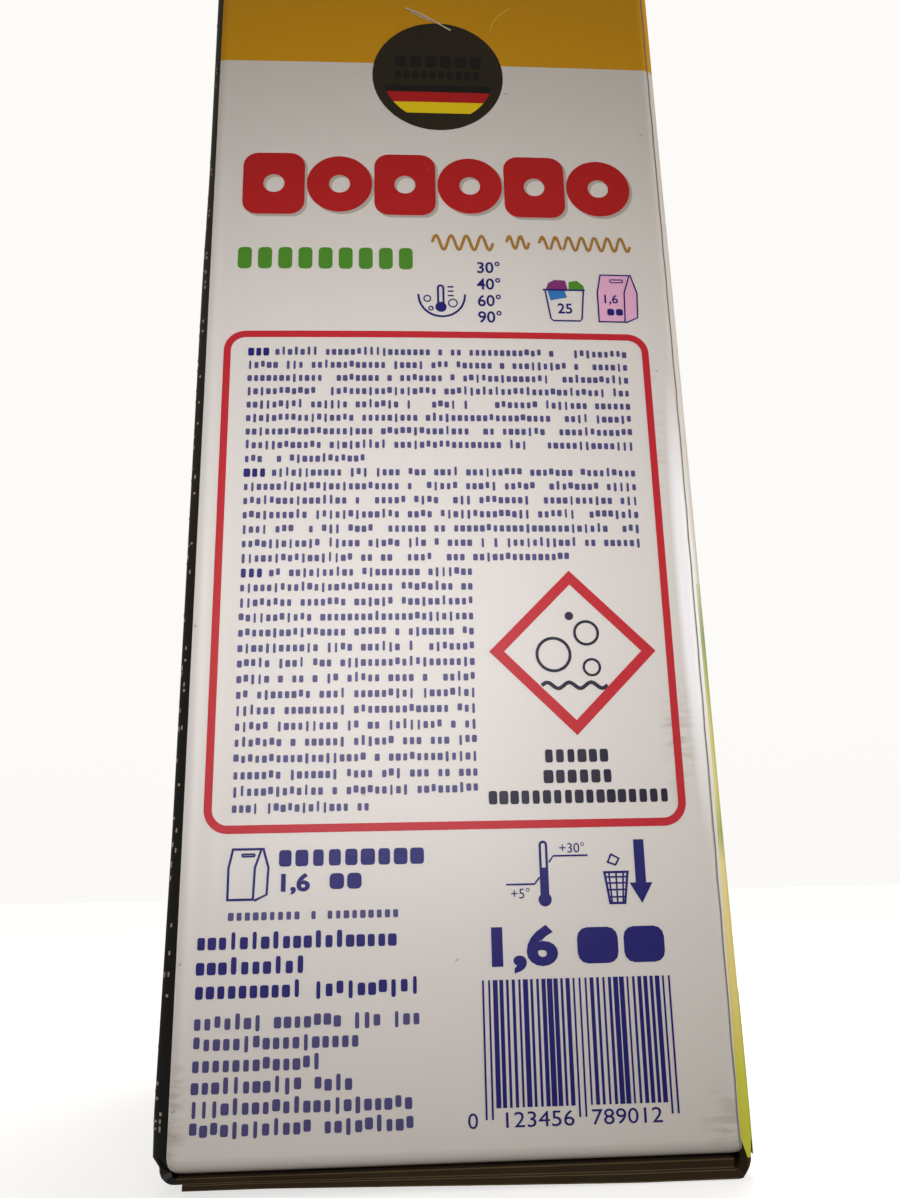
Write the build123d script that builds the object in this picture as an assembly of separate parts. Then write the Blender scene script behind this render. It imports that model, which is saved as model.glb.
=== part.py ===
from build123d import *
import math
import os

# A sealed carton of washing powder in micro-corrugated board. Millimetres, Z up.
# X runs across the main faces and Y through the depth, between the main faces.
# The origin is on the floor, under the middle of the carton.

# Driving sizes
main_width = 140.0          # outside, from one narrow side panel to the other
side_width = 95.5           # outside, from one main face to the other, at their creases
carton_height = 250.0
board = 1.5                 # thickness of the board, printed liner outside
crease_radius = 3.0         # outside radius of every fold, upright and at the ends
main_bulge = 2.5            # how far the powder pushes out the middle of a main face
side_bulge = 0.8            # the same for a narrow side panel
flap_setback = 0.6          # outer flap's raw edge, in from the flat of the side panel
inner_flap_step = 0.4       # inner flap's raw edge, in from the outer flap's
free_edge_gap = 4.1         # outer flap's free edge, in from the main face it reaches to
lap_setback = 0.9           # raw edge of the glued upright seam, in from the side panel
body_sections = 9           # sections that the swollen body is lofted through

half_width = main_width / 2
half_depth = side_width / 2
flaps = 2 * board           # two glued flaps close each end
end_height = flaps + crease_radius
body_height = carton_height - 2 * end_height
clear = 10.0                # how far a trimming outline reaches past the carton


def bowed_side(start, end, bulge):
    # One panel seen from above: a shallow bow between its two creases, straight at no bulge.
    along = end - start
    outward = Vector(along.Y, -along.X, 0).normalized()
    reach = outward * (bulge * 4 / 3)
    return Bezier(start, start + along / 3 + reach, start + along * 2 / 3 + reach, end)


def corner(start, end, centre):
    # A quarter turn of the board round an upright crease.
    middle = centre + ((start + end) / 2 - centre).normalized() * crease_radius
    return ThreePointArc(start, middle, end)


def plan_outline(swell):
    # The carton from above. Swell goes from 0, at the ends, to 1 at the middle of its height.
    x_flat = half_width - crease_radius
    y_flat = half_depth - crease_radius
    edges = []
    for turn in range(4):
        across = turn % 2 == 0
        flat, reach = (x_flat, half_depth) if across else (y_flat, half_width)
        bulge = (main_bulge if across else side_bulge) * swell
        next_flat = y_flat if across else x_flat
        start = Vector(-flat, -reach, 0).rotate(Axis.Z, 90 * turn)
        end = Vector(flat, -reach, 0).rotate(Axis.Z, 90 * turn)
        centre = Vector(flat, -next_flat, 0).rotate(Axis.Z, 90 * turn)
        after = Vector(flat + crease_radius, -next_flat, 0).rotate(Axis.Z, 90 * turn)
        edges.append(bowed_side(start, end, bulge))
        edges.append(corner(end, after, centre))
    return Face(Wire(edges))


def swollen_body():
    # The stretch between the end folds, where the panels bow out under the powder.
    sections = []
    for index in range(body_sections):
        share = index / (body_sections - 1)
        outline = plan_outline(math.sin(math.pi * share))
        sections.append(Pos(0, 0, end_height + share * body_height) * outline)
    return loft(sections)


def closed_face(lines):
    return Face(Wire([edge for line in lines for edge in line.edges()]))


def across_profile():
    # The lower end seen along Y: the side panels fold in above two set-back flaps.
    outer = half_width - flap_setback
    inner = outer - inner_flap_step
    fold = half_width - crease_radius
    lines = [
        Polyline((0, 0), (outer, 0), (outer, board), (inner, board), (inner, flaps), (fold, flaps)),
        RadiusArc((fold, flaps), (half_width, end_height), -crease_radius),
        Polyline((half_width, end_height), (0, end_height), (0, 0)),
    ]
    half = Plane.XZ * closed_face(lines)
    return half + mirror(half, about=Plane.YZ)


def depth_profile():
    # The lower end seen along X: the inner flap is hinged at -Y and the outer flap at +Y.
    free_edge = -half_depth + free_edge_gap
    low_fold = half_depth - crease_radius
    inner_fold = -half_depth + crease_radius
    fold_top = board + crease_radius
    lines = [
        Polyline((inner_fold, board), (free_edge, board), (free_edge, 0), (low_fold, 0)),
        RadiusArc((low_fold, 0), (half_depth, crease_radius), -crease_radius),
        Polyline((half_depth, crease_radius), (half_depth, end_height), (-half_depth, end_height),
                 (-half_depth, fold_top)),
        RadiusArc((-half_depth, fold_top), (inner_fold, board), -crease_radius),
    ]
    return Plane.YZ * closed_face(lines)


def closed_end():
    # The lower end: a straight length of the carton trimmed to its folds and flaps.
    straight = extrude(plan_outline(0), amount=end_height)
    across = extrude(across_profile(), amount=half_depth + clear, both=True)
    depth = extrude(depth_profile(), amount=half_width + clear, both=True)
    return straight & across & depth


def seam_edge():
    # The upright glued seam: the +Y face's raw edge stands over the -X panel's fold.
    length = crease_radius - lap_setback
    middle = Pos(-half_width + lap_setback + length / 2, half_depth - board / 2, carton_height / 2)
    return middle * Box(length, board, body_height)


def carton():
    lower = closed_end()
    upper = mirror(lower, about=Plane.XY.offset(carton_height / 2))
    return (swollen_body() + lower + upper + seam_edge()).clean()


os.makedirs("parts", exist_ok=True)
export_step(carton(), "parts/carton.step")
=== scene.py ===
import math

import bmesh
import bpy
import numpy as np
from mathutils import Matrix, Vector, noise


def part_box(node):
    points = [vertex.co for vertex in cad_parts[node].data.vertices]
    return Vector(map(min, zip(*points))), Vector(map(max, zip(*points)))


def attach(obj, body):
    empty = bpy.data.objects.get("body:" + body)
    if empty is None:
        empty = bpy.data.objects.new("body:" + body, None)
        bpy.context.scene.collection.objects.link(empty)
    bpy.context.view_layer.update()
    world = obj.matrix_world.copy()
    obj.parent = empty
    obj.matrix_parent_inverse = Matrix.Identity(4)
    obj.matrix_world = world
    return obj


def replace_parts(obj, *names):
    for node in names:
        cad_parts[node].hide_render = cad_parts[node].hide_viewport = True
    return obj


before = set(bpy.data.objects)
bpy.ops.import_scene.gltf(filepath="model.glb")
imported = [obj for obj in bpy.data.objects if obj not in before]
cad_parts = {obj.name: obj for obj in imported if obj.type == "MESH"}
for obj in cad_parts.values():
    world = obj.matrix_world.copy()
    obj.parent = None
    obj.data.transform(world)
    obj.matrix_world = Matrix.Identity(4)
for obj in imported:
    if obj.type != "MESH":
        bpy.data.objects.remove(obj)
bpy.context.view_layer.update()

# Everything is drawn in millimetres and scaled to metres when it is wrapped round the carton.
mm = 0.001
bpy.context.scene.view_settings.view_transform = "Standard"

carton = {
    "mainBulge": 2.5,      # bow of a main face at its middle, as the frame has it
    "sideBulge": 0.8,      # bow of a narrow side panel
    "tuck": 0.12,          # the skin stays this far inside the frame, which leaves room for ink
    "corner": 3.0,         # outside radius of every fold
    "board": 1.5,          # micro-corrugated board
    "lapSetback": 0.9,     # raw edge of the glued upright seam, in from the side panel
    "lapWidth": 12.0,      # glue lap under the seam
    "printTurn": 27.8,     # degrees a side panel's print runs on round its corner folds
    "paleTurn": 36.4,      # and where the pale face's print begins on its own fold
    "printDrift": 1.2,     # that print creeps this far round its fold at the foot
    "driftHigh": 70,       # and no longer creeps at this height
    "driftColumns": 6,     # columns that make up a fold
    "columnStep": 0.57,    # about six columns to a flute
    "rowStep": 6.2,
    "fluteStep": 3.4,      # distance between flutes
    "fluteDepth": 0.014,   # how far the liner sinks between two flutes
    "dent": 0.16,          # slow unevenness of the panels
    "dentAlong": 46,       # and how far apart its waves are
    "dentUp": 58,
    "darkSwell": 1.25,     # bulge of the fold beside the dark face, at the foot
    "paleSwell": 0.45,     # and of the fold beside the pale face
    "bandFoot": 216.6,     # lower edge of the yellow band
    "fieldHead": 100.0,    # upper edge of the green and yellow field on the pale face
}
closing = {
    "foldRows": 6,
    "sideGap": 0.3,        # the side flaps' fold stands off the main flaps
    "cornerHold": 2.6,     # how long a wall keeps its corner before the flap narrows
    "sideFlap": 12.0,      # how much of a side flap is modelled, under the main flaps
    "freeGap": 4.1,        # outer flap's free edge, in from the dark face
    "innerGap": 3.4,       # inner flap's free edge, in from the pale face, hidden
    "outerHalf": 69.4,     # raw edges of the outer flap
    "innerHalf": 69.0,     # raw edges of the inner flap
    "sideHalf": 43.9,      # edges of a side flap where it tucks in
}


# How the two bulging folds swell: mm up the fold and along the sheet, with the share there.
foldSwell = {
    "up": [0, 3, 12, 55, 165, 190],
    "upShare": [0.5, 0.8, 1, 0.55, 0.3, 0.0],
    "besideDark": [-60, -5, -3.6, -1.3],
    "besidePale": [-3.4, -1.4, 0, 60],
    "besideShare": [0, 1, 1, 0],
}

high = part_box("carton")[1]
tall = high.z / mm
halfWidth = high.x / mm - carton["sideBulge"]
halfDepth = high.y / mm - carton["mainBulge"]
foldTop = 2 * carton["board"] + carton["corner"]


def linearColour(hexColour, alpha=1.0):
    values = [int(hexColour[i:i + 2], 16) / 255 for i in (1, 3, 5)]
    linear = [v / 12.92 if v <= 0.04045 else ((v + 0.055) / 1.055) ** 2.4 for v in values]
    return (*linear, alpha)


def addNode(tree, kind, inputs=None, **settings):
    node = tree.nodes.new(kind)
    for name, value in settings.items():
        setattr(node, name, value)
    for key, value in (inputs or {}).items():
        if isinstance(value, bpy.types.NodeSocket):
            tree.links.new(value, node.inputs[key])
        else:
            node.inputs[key].default_value = value
    return node


def newMaterial(name):
    material = bpy.data.materials.new(name)
    material.use_nodes = True
    tree = material.node_tree
    tree.nodes.clear()
    shader = addNode(tree, "ShaderNodeBsdfPrincipled")
    addNode(tree, "ShaderNodeOutputMaterial", {"Surface": shader.outputs[0]})
    return material, tree, shader


paper = {
    "grain": 0.35,         # mm, as the next two
    "ripple": 2.5,         # slow waves of the varnish
    "mottle": 9.0,         # clouds of thinner ink
    "relief": 0.02,        # how high grain and ripple stand
    "bump": 0.12,
    "smoothest": 0.06,     # the sheen varies this much with the grain
    "roughest": 0.08,
    "specular": 0.25,
    "coatRoughness": 0.3,
}


def lithoPrint(name, hexColour, roughness=0.46, coat=0.1, mottle=0.05, metallic=0.0):
    # Offset ink under a water-based satin varnish: flat colour, a soft sheen, the paper's grain.
    material, tree, shader = newMaterial(name)
    place = addNode(tree, "ShaderNodeTexCoord").outputs["Object"]
    cloud, grain, ripple = (
        addNode(tree, "ShaderNodeTexNoise", {"Vector": place, "Scale": 1 / (paper[label] * mm),
                                             "Detail": detail}).outputs[0]
        for label, detail in (("mottle", 4.0), ("grain", 3.0), ("ripple", 1.0)))
    base = linearColour(hexColour)
    tone = addNode(tree, "ShaderNodeMix", {"Factor": cloud}, data_type="RGBA")
    sockets = {socket.identifier: socket for socket in tone.inputs}
    sockets["A_Color"].default_value = base
    sockets["B_Color"].default_value = tuple(v * (1 - mottle) for v in base[:3]) + (1.0,)
    colour = [out for out in tone.outputs if out.identifier == "Result_Color"][0]
    gloss = addNode(tree, "ShaderNodeMapRange",
                    {"Value": grain, "To Min": roughness - paper["smoothest"],
                     "To Max": roughness + paper["roughest"]})
    height = addNode(tree, "ShaderNodeMath", {0: grain, 1: ripple}, operation="ADD")
    bump = addNode(tree, "ShaderNodeBump",
                   {"Height": height.outputs[0], "Strength": paper["bump"],
                    "Distance": paper["relief"] * mm})
    tree.links.new(colour, shader.inputs["Base Color"])
    tree.links.new(gloss.outputs[0], shader.inputs["Roughness"])
    tree.links.new(bump.outputs[0], shader.inputs["Normal"])
    shader.inputs["Metallic"].default_value = metallic
    shader.inputs["Specular IOR Level"].default_value = paper["specular"]
    shader.inputs["Coat Weight"].default_value = coat
    shader.inputs["Coat Roughness"].default_value = paper["coatRoughness"]
    return material


# Name, colour, roughness, varnish, mottle and metal. What each gives the eye stands at its end.
whiteBoard = lithoPrint("clayCoatedWhite", "#DDD8D2", 0.45, 0.2, 0.03)  # warm white with a soft sheen
yellowInk = lithoPrint("lithoYellow", "#D89B05", 0.5, 0.12)  # deep yolk yellow of the band
darkInk = lithoPrint("lithoUmberBlack", "#26211C", 0.4, 0.22, 0.12)  # brown-black that shines at a low angle
fieldInk = lithoPrint("lithoMeadow", "#BFC33A", 0.5, 0.12)  # yellow-green, blended below
linerPaper = lithoPrint("kraftLinerEdge", "#655438", 0.9, 0.0, 0.5)  # light brown line of a cut liner
fleckInk = lithoPrint("bareClayCoat", "#B7AB98", 0.8, 0.0, 0.4)  # dull grey-white where ink cracked off
scoreInk = lithoPrint("greyScoreLine", "#8F897F", 0.8, 0.0, 0.3)  # thin grey line along a score
wrinkleHighlightInk = lithoPrint("paintedWrinkleHighlight", "#E3B43C", 0.6, 0.0)  # lighter yellow along a wrinkle: a painted highlight on its ridge
paleInk = lithoPrint("lithoPaleWhite", "#D5D0C8")  # off-white print
skyInk = lithoPrint("lithoSky", "#8FB9CF")  # pale cool blue of bubbles
leafInk = lithoPrint("lithoLeaf", "#8FAE35")  # fresh leaf green
rawBoardAndShade = lithoPrint("rawTestlinerAndShade", "#3A2D19", 0.9, 0.0, 0.55)  # dark fibrous brown of bare board, darkened further as painted shade of the flute hollows in cut edges
redInk = lithoPrint("lithoRed", "#B51518", 0.5, 0.12)  # clean strong red of the tiles
navyInk = lithoPrint("lithoNavy", "#15106B", 0.5, 0.12)  # deep violet-blue of icons and figures
frameInk = lithoPrint("lithoWarmRed", "#C01D29", 0.5, 0.12)  # warmer red of the notice's line
greenInk = lithoPrint("lithoGreen", "#4A8A22", 0.5, 0.12)  # grass green
goldInk = lithoPrint("lithoOchreGold", "#A5772B")  # flat ochre that reads as gold
pinkInk = lithoPrint("lithoPink", "#E4AECB")  # pale pink
magentaInk = lithoPrint("lithoMagenta", "#7E2A6E")  # dull purple
blueInk = lithoPrint("lithoBlue", "#2C74B8")  # clear mid blue
brightYellowInk = lithoPrint("lithoProcessYellow", "#EFD210")  # cool lemon yellow
shadowInk = lithoPrint("lithoShadowGrey", "#B5ADA2")  # soft grey of a drop shadow
bronzeInk = lithoPrint("lithoBronzeBlack", "#2F2716", 0.34, 0.3, 0.3, 0.2)  # dark bronze, faintly metallic
sealBlackInk = lithoPrint("lithoSealBlack", "#0C0A07", 0.4, 0.3)  # deepest black, seen on bronze
fineInk = lithoPrint("lithoNavyFine", "#4B477A")  # navy thinned by small type
softBlackInk = lithoPrint("lithoBlueBlack", "#1D1830")  # soft blue-black

# The field behind the pale face's washing, from the foot up: share of its height and colour.
fieldColours = [(0.0, "#BDC22F"), (0.16, "#C9C83C"), (0.28, "#DDCB70"), (0.5, "#E2D189"),
                (0.55, "#9DB05A"), (0.62, "#D5CF7C"), (0.78, "#C3C56E"), (0.9, "#8FA865"),
                (1.0, "#C9CFA8")]
# The umber black, painted darker towards the foot: painted shade.
darkInkShadeColours = [(0.0, "#0E0C0A"), (0.35, "#12100D"), (0.65, "#241F1A"), (1.0, "#2A251F")]


def shaderOf(material):
    tree = material.node_tree
    return tree, [node for node in tree.nodes if node.type == "BSDF_PRINCIPLED"][0]


def colourField(material, colours, head, wanderStep=22, wanderShare=0.1):
    # Turns a print's one colour into a soft blend up the wall: print on the pale face's field, painted shade
    # on the dark face.
    tree, shader = shaderOf(material)
    place = addNode(tree, "ShaderNodeTexCoord").outputs["Object"]
    height = addNode(tree, "ShaderNodeSeparateXYZ", {0: place}).outputs["Z"]
    wander = addNode(tree, "ShaderNodeTexNoise", {"Vector": place, "Scale": 1 / (wanderStep * mm)})
    share = addNode(tree, "ShaderNodeMath", {0: height, 1: 1 / (head * mm)}, operation="MULTIPLY")
    wavy = addNode(tree, "ShaderNodeMath",
                   {0: wander.outputs[0], 1: wanderShare, 2: share.outputs[0]},
                   operation="MULTIPLY_ADD")
    centred = addNode(tree, "ShaderNodeMath", {0: wavy.outputs[0], 1: wanderShare / 2},
                      operation="SUBTRACT")
    ramp = addNode(tree, "ShaderNodeValToRGB", {"Fac": centred.outputs[0]})
    stops = ramp.color_ramp.elements
    for number, (position, hexColour) in enumerate(colours):
        stop = stops[number] if number < 2 else stops.new(position)
        stop.position = position
        stop.color = linearColour(hexColour)
    tree.links.new(ramp.outputs["Color"], shader.inputs["Base Color"])


rubAndHighlight = {
    "patch": 1.6,          # mm
    "soft": 0.25,
    "gain": 2.2,
    "streak": (1, 0.3, 1.5),
}
# Rub marks and a painted highlight: middle and half size in mm, colour and strength. The first is the painted
# highlight, a white band beside the pale fold, and its last value starts its patches so low that it is even.
rubMarksAndHighlight = [((71, 44.7, 98), (8, 2.3, 47), "#FFFFFF", 0.85, -1.0),
            ((71, 40.5, 71), (6, 3.6, 14), "#A0978B", 0.36),
            ((71, 41.5, 128), (6, 2.0, 22), "#A79D90", 0.22),
            ((71, -45.5, 12), (6, 3.0, 14), "#9A8F80", 0.3),
            ((71, 43.5, 8), (6, 5.0, 8), "#9A9082", 0.25)]


def addRubOrHighlight(material, middle, half, hexColour, strength, patchStart=0.45):
    # Mixes a patch of colour into the board: grey rub marks, and the painted highlight beside the pale fold.
    tree, shader = shaderOf(material)
    before = shader.inputs["Base Color"].links[0].from_socket
    place = addNode(tree, "ShaderNodeTexCoord").outputs["Object"]
    local = addNode(tree, "ShaderNodeMapping", {"Vector": place, "Location": Vector(middle) * mm,
                                                "Scale": Vector(half) * mm},
                    vector_type="TEXTURE")
    fade = addNode(tree, "ShaderNodeTexGradient", {"Vector": local.outputs[0]},
                   gradient_type="SPHERICAL")
    streak = addNode(tree, "ShaderNodeMapping", {"Vector": place, "Scale": rubAndHighlight["streak"]})
    patches = addNode(tree, "ShaderNodeTexNoise", {"Vector": streak.outputs[0],
                                                   "Scale": 1 / (rubAndHighlight["patch"] * mm), "Detail": 3.0})
    sharp = addNode(tree, "ShaderNodeMapRange",
                    {"Value": patches.outputs[0], "From Min": patchStart,
                     "From Max": patchStart + rubAndHighlight["soft"], "To Max": strength * rubAndHighlight["gain"]})
    amount = addNode(tree, "ShaderNodeMath", {0: fade.outputs["Fac"], 1: sharp.outputs[0]},
                     operation="MULTIPLY", use_clamp=True)
    mixed = addNode(tree, "ShaderNodeMixRGB", {"Fac": amount.outputs[0], "Color1": before,
                                               "Color2": linearColour(hexColour)})
    tree.links.new(mixed.outputs[0], shader.inputs["Base Color"])


# The painted highlight first, then the grey rub marks.
for rubOrHighlightMark in rubMarksAndHighlight:
    addRubOrHighlight(whiteBoard, *rubOrHighlightMark)
colourField(fieldInk, fieldColours, carton["fieldHead"])
# The dark face's blend is painted shade, darker towards the foot.
colourField(darkInk, darkInkShadeColours, tall)
print("inks and papers ready:", len(bpy.data.materials))


def planColumns():
    # The sheet seen from above, from the glue lap round to the seam's raw edge. Each column is
    # x, y, outward x, outward y, bow and panel, in that order.
    r = carton["corner"]
    turn = carton["printTurn"]
    angles = [0, turn / 3, turn * 2 / 3, turn, (turn + 45) / 2, 45]
    angles += [90 - a for a in reversed(angles[:-1])]
    lapY = halfDepth - carton["board"]
    columns = []
    flatStart = {}

    def flat(start, end, outward, bulge, panel, steps):
        flatStart[panel] = len(columns)
        for index in range(steps + 1):
            share = index / steps
            x = start[0] + (end[0] - start[0]) * share
            y = start[1] + (end[1] - start[1]) * share
            bow = 4 * max(bulge - carton["tuck"], 0) * share * (1 - share)
            columns.append((x, y, *outward, bow, panel))

    def fold(centre, startAngle, panelBefore, panelAfter):
        for angle in angles[1:-1]:
            turned = math.radians(startAngle + angle)
            out = (math.cos(turned), math.sin(turned))
            panel = panelBefore if angle < 45 else panelAfter
            columns.append((centre[0] + r * out[0], centre[1] + r * out[1], *out, 0.0, panel))

    def steps(length):
        return round(length / carton["columnStep"])

    w, d = halfWidth - r, halfDepth - r
    flat((-w + carton["lapWidth"], lapY), (-w, lapY), (0, 1), 0, 0, 3)
    fold((-w, lapY - r), 90, 1, 1)
    flat((-halfWidth, lapY - r), (-halfWidth, -d), (-1, 0), carton["sideBulge"], 1, steps(2 * d))
    fold((-w, -d), 180, 1, 2)
    flat((-w, -halfDepth), (w, -halfDepth), (0, -1), carton["mainBulge"], 2, steps(2 * w))
    fold((w, -d), 270, 2, 3)
    flat((halfWidth, -d), (halfWidth, d), (1, 0), carton["sideBulge"], 3, steps(2 * d))
    fold((w, d), 0, 3, 4)
    seam = -halfWidth + carton["lapSetback"]
    flat((w, halfDepth), (seam, halfDepth), (0, 1), carton["mainBulge"], 4, steps(w - seam))
    return np.array(columns), flatStart


plan, flatStart = planColumns()
stepLengths = np.hypot(np.diff(plan[:, 0]), np.diff(plan[:, 1]))
alongSheet = np.concatenate([[0], np.cumsum(stepLengths)])


def wrapSheet(points):
    # Takes points as mm along the sheet, mm up and mm off its face, and folds them round.
    points = np.asarray(points, float)
    along, up, lift = points[:, 0], points[:, 1], points[:, 2]
    x, y, outX, outY, bow = (np.interp(along, alongSheet, plan[:, k]) for k in range(5))
    size = np.maximum(np.hypot(outX, outY), 1e-9)
    swell = np.sin(np.pi * np.clip((up - foldTop) / (tall - 2 * foldTop), 0, 1))
    flute = carton["fluteDepth"] * (np.cos(2 * np.pi * along / carton["fluteStep"]) - 1)
    slow = [noise.noise(Vector((a / carton["dentAlong"], z / carton["dentUp"], 3.1)))
            for a, z in zip(along, up)]
    dent = carton["dent"] * (np.array(slow) - 1) * swell * (bow > 0.01)
    out = bow * swell + flute + dent * 0.5 + lift
    # The folds beside the printed panel bulge towards their main faces, most at the foot.
    height = np.interp(up, foldSwell["up"], foldSwell["upShare"])
    nearDark = np.interp(along - alongSheet[flatStart[3]], foldSwell["besideDark"],
                         foldSwell["besideShare"])
    nearPale = np.interp(along - alongSheet[flatStart[4]], foldSwell["besidePale"],
                         foldSwell["besideShare"])
    y = y - carton["darkSwell"] * nearDark * height
    y = y + carton["paleSwell"] * nearPale * height
    return np.column_stack([x + outX / size * out, y + outY / size * out, up]) * mm


def meshObject(name, vertices, faces, materials, faceMaterials=None):
    mesh = bpy.data.meshes.new(name)
    mesh.from_pydata([tuple(v) for v in vertices], [], faces)
    for material in materials:
        mesh.materials.append(material)
    if faceMaterials is not None:
        mesh.polygons.foreach_set("material_index", faceMaterials)
    mesh.polygons.foreach_set("use_smooth", [True] * len(mesh.polygons))
    mesh.update()
    piece = bpy.data.objects.new(name, mesh)
    bpy.context.scene.collection.objects.link(piece)
    return piece


def rowHeights():
    marks = [foldTop, carton["fieldHead"], carton["bandFoot"], tall - foldTop]
    heights = []
    for start, end in zip(marks, marks[1:]):
        count = max(2, round((end - start) / carton["rowStep"]))
        heights += [start + (end - start) * k / count for k in range(count)]
    return heights + [tall - foldTop]


sideFlap = {"half": closing["sideHalf"], "foot": 2 * carton["board"] + closing["sideGap"],
            "length": closing["sideFlap"]}
# Each panel's flap: which way the panel looks, half its free edge, how high it lies, its length.
flaps = {
    1: {"outward": -1, **sideFlap},
    2: {"outward": -1, "half": closing["innerHalf"], "foot": carton["board"],
        "length": 2 * halfDepth - closing["innerGap"]},
    3: {"outward": 1, **sideFlap},
    4: {"outward": 1, "half": closing["outerHalf"], "foot": 0.0,
        "length": 2 * halfDepth - closing["freeGap"]},
}


def flapProfile(foot, length):
    # Inward and downward steps of a lower flap, from the wall's last row to its free edge.
    r = carton["corner"]
    profile = []
    if foot + r < foldTop:
        profile.append((0.0, foot + r))
    for k in range(1, closing["foldRows"] + 1):
        angle = math.pi / 2 * k / closing["foldRows"]
        profile.append((r - r * math.cos(angle), foot + r - r * math.sin(angle)))
    for share in (0.1, 0.3, 0.5, 0.7, 0.85, 1.0):
        profile.append((r + (length - r) * share, foot))
    return profile


sheetInks = [whiteBoard, yellowInk, darkInk, fieldInk, leafInk, rawBoardAndShade]
slotOf = {"white": 0, "yellow": 1, "dark": 2, "field": 3, "leaf": 4, "raw": 5}


def inkOf(panel, up):
    if panel == 2:
        return slotOf["dark"]
    if up > carton["bandFoot"]:
        return slotOf["yellow"]
    if panel == 4 and up < carton["corner"] + 0.1:
        return slotOf["leaf"]
    return slotOf["field"] if panel == 4 and up < carton["fieldHead"] else slotOf["white"]


def inkPanel(column):
    # The panel whose print covers the strip between this column and the next.
    middle = (plan[column] + plan[column + 1]) / 2
    x, y = middle[0], middle[1]
    darkY, paleY = (halfDepth - carton["corner"] * (1 - math.sin(math.radians(carton[turn])))
                    for turn in ("printTurn", "paleTurn"))
    if y < -darkY:
        return 2
    if y > paleY and x > -halfWidth + carton["lapSetback"] and plan[column][5] >= 3:
        return 4
    return 3 if x > 0 else 1


def addWall(vertices, faces, inks):
    # The four panels, from the lower folds to the upper ones. Returns its last row's first point.
    heights = rowHeights()
    columnCount = len(plan)
    line = flatStart[4] - carton["driftColumns"]  # where the pale face's print begins
    grid = []
    for up in heights:
        drift = carton["printDrift"] * max(0.0, 1 - up / carton["driftHigh"])
        for column, along in enumerate(alongSheet):
            near = max(0.0, 1 - abs(column - line) / carton["driftColumns"])
            grid.append([along - drift * near, up, 0.0])
    vertices += [tuple(v) for v in wrapSheet(grid)]
    for row in range(len(heights) - 1):
        up = (heights[row] + heights[row + 1]) / 2
        for column in range(columnCount - 1):
            a = row * columnCount + column
            faces.append((a, a + 1, a + columnCount + 1, a + columnCount))
            inks.append(inkOf(inkPanel(column), up))
    return (len(heights) - 1) * columnCount


def addFlap(panel, lower, wallRow, vertices, faces, inks):
    # Carries the wall's last row on round the fold, and in to the flap's free edge.
    flap = flaps[panel]
    rawFootStart = halfWidth - carton["corner"]  # past this, the pale face's foot takes the raw board's dark brown round its fold
    members = [k for k in range(len(plan)) if int(plan[k][5]) == panel]
    if panel > 1:
        members = [members[0] - 1] + members  # the fold's own middle column
    axis = 1 if panel in (1, 3) else 0
    edge = halfWidth if axis == 1 else halfDepth
    places = plan[members][:, axis]
    reachLow, reachHigh = -places.min(), places.max()
    previous = [wallRow + k for k in members]
    for step, (depth, foot) in enumerate(flapProfile(flap["foot"], flap["length"])):
        part = min(1.0, (step + 1) / closing["foldRows"]) ** closing["cornerHold"]
        current = []
        for k in members:
            place = plan[k][axis]
            reach = reachHigh if place > 0 else reachLow
            moved = place * (1 + (flap["half"] / reach - 1) * part)
            setIn = (edge - abs(plan[k][1 - axis])) * (1 - part)
            flute = carton["fluteDepth"] * (
                math.cos(2 * math.pi * alongSheet[k] / carton["fluteStep"]) - 1)
            out = (edge - (depth + setIn - flute * (depth == 0))) * flap["outward"]
            x, y = (out, moved) if axis == 1 else (moved, out)
            current.append(len(vertices))
            vertices.append((x * mm, y * mm, (foot if lower else tall - foot) * mm))
        for j in range(len(members) - 1):
            quad = (current[j], current[j + 1], previous[j + 1], previous[j])
            faces.append(quad if lower else quad[::-1])
            ink = inkOf(inkPanel(members[j]), foot if lower else tall)
            if lower and depth > carton["corner"]:
                ink = slotOf["raw"]
            elif lower and panel == 4 and plan[members[j]][0] > rawFootStart:
                ink = slotOf["raw"] if depth > 0 else slotOf["field"]
            inks.append(ink)
        previous = current


def foldedSheet():
    vertices, faces, inks = [], [], []
    lastRow = addWall(vertices, faces, inks)
    for lower, wallRow in ((True, 0), (False, lastRow)):
        for panel in flaps:
            addFlap(panel, lower, wallRow, vertices, faces, inks)
    sheet = meshObject("sheetSkin", vertices, faces, sheetInks, inks)
    thick = sheet.modifiers.new("boardThickness", "SOLIDIFY")
    thick.thickness = carton["board"] * mm
    thick.offset = -1
    thick.use_even_offset = True
    # Past the last slot, so that the inside and the rims are raw board.
    thick.material_offset = len(sheetInks)
    thick.material_offset_rim = len(sheetInks)
    return sheet


def evaluatedMesh(piece):
    # The piece with its modifiers applied, as a plain mesh. The piece itself goes.
    graph = bpy.context.evaluated_depsgraph_get()
    mesh = bpy.data.meshes.new_from_object(piece.evaluated_get(graph), depsgraph=graph)
    bpy.data.objects.remove(piece)
    return mesh


def finishedPiece(name, mesh):
    piece = bpy.data.objects.new(name, mesh)
    bpy.context.scene.collection.objects.link(piece)
    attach(piece, "root")
    print(name, len(mesh.polygons), "faces")
    return piece


crush = {
    "high": 3.1,           # what lies below this is pressed
    "share": 0.42,
    "along": 75.0,         # how far it runs back from the dark face
    "deep": 45.0,          # and in from the printed panel
    "hold": 1.25,          # it stays full this far past the corner
    "darkDeep": 3.4,        # the dark ink, pressed print and painted shade, reaches this far round the corner
    "darkWide": 4.0,
}


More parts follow.
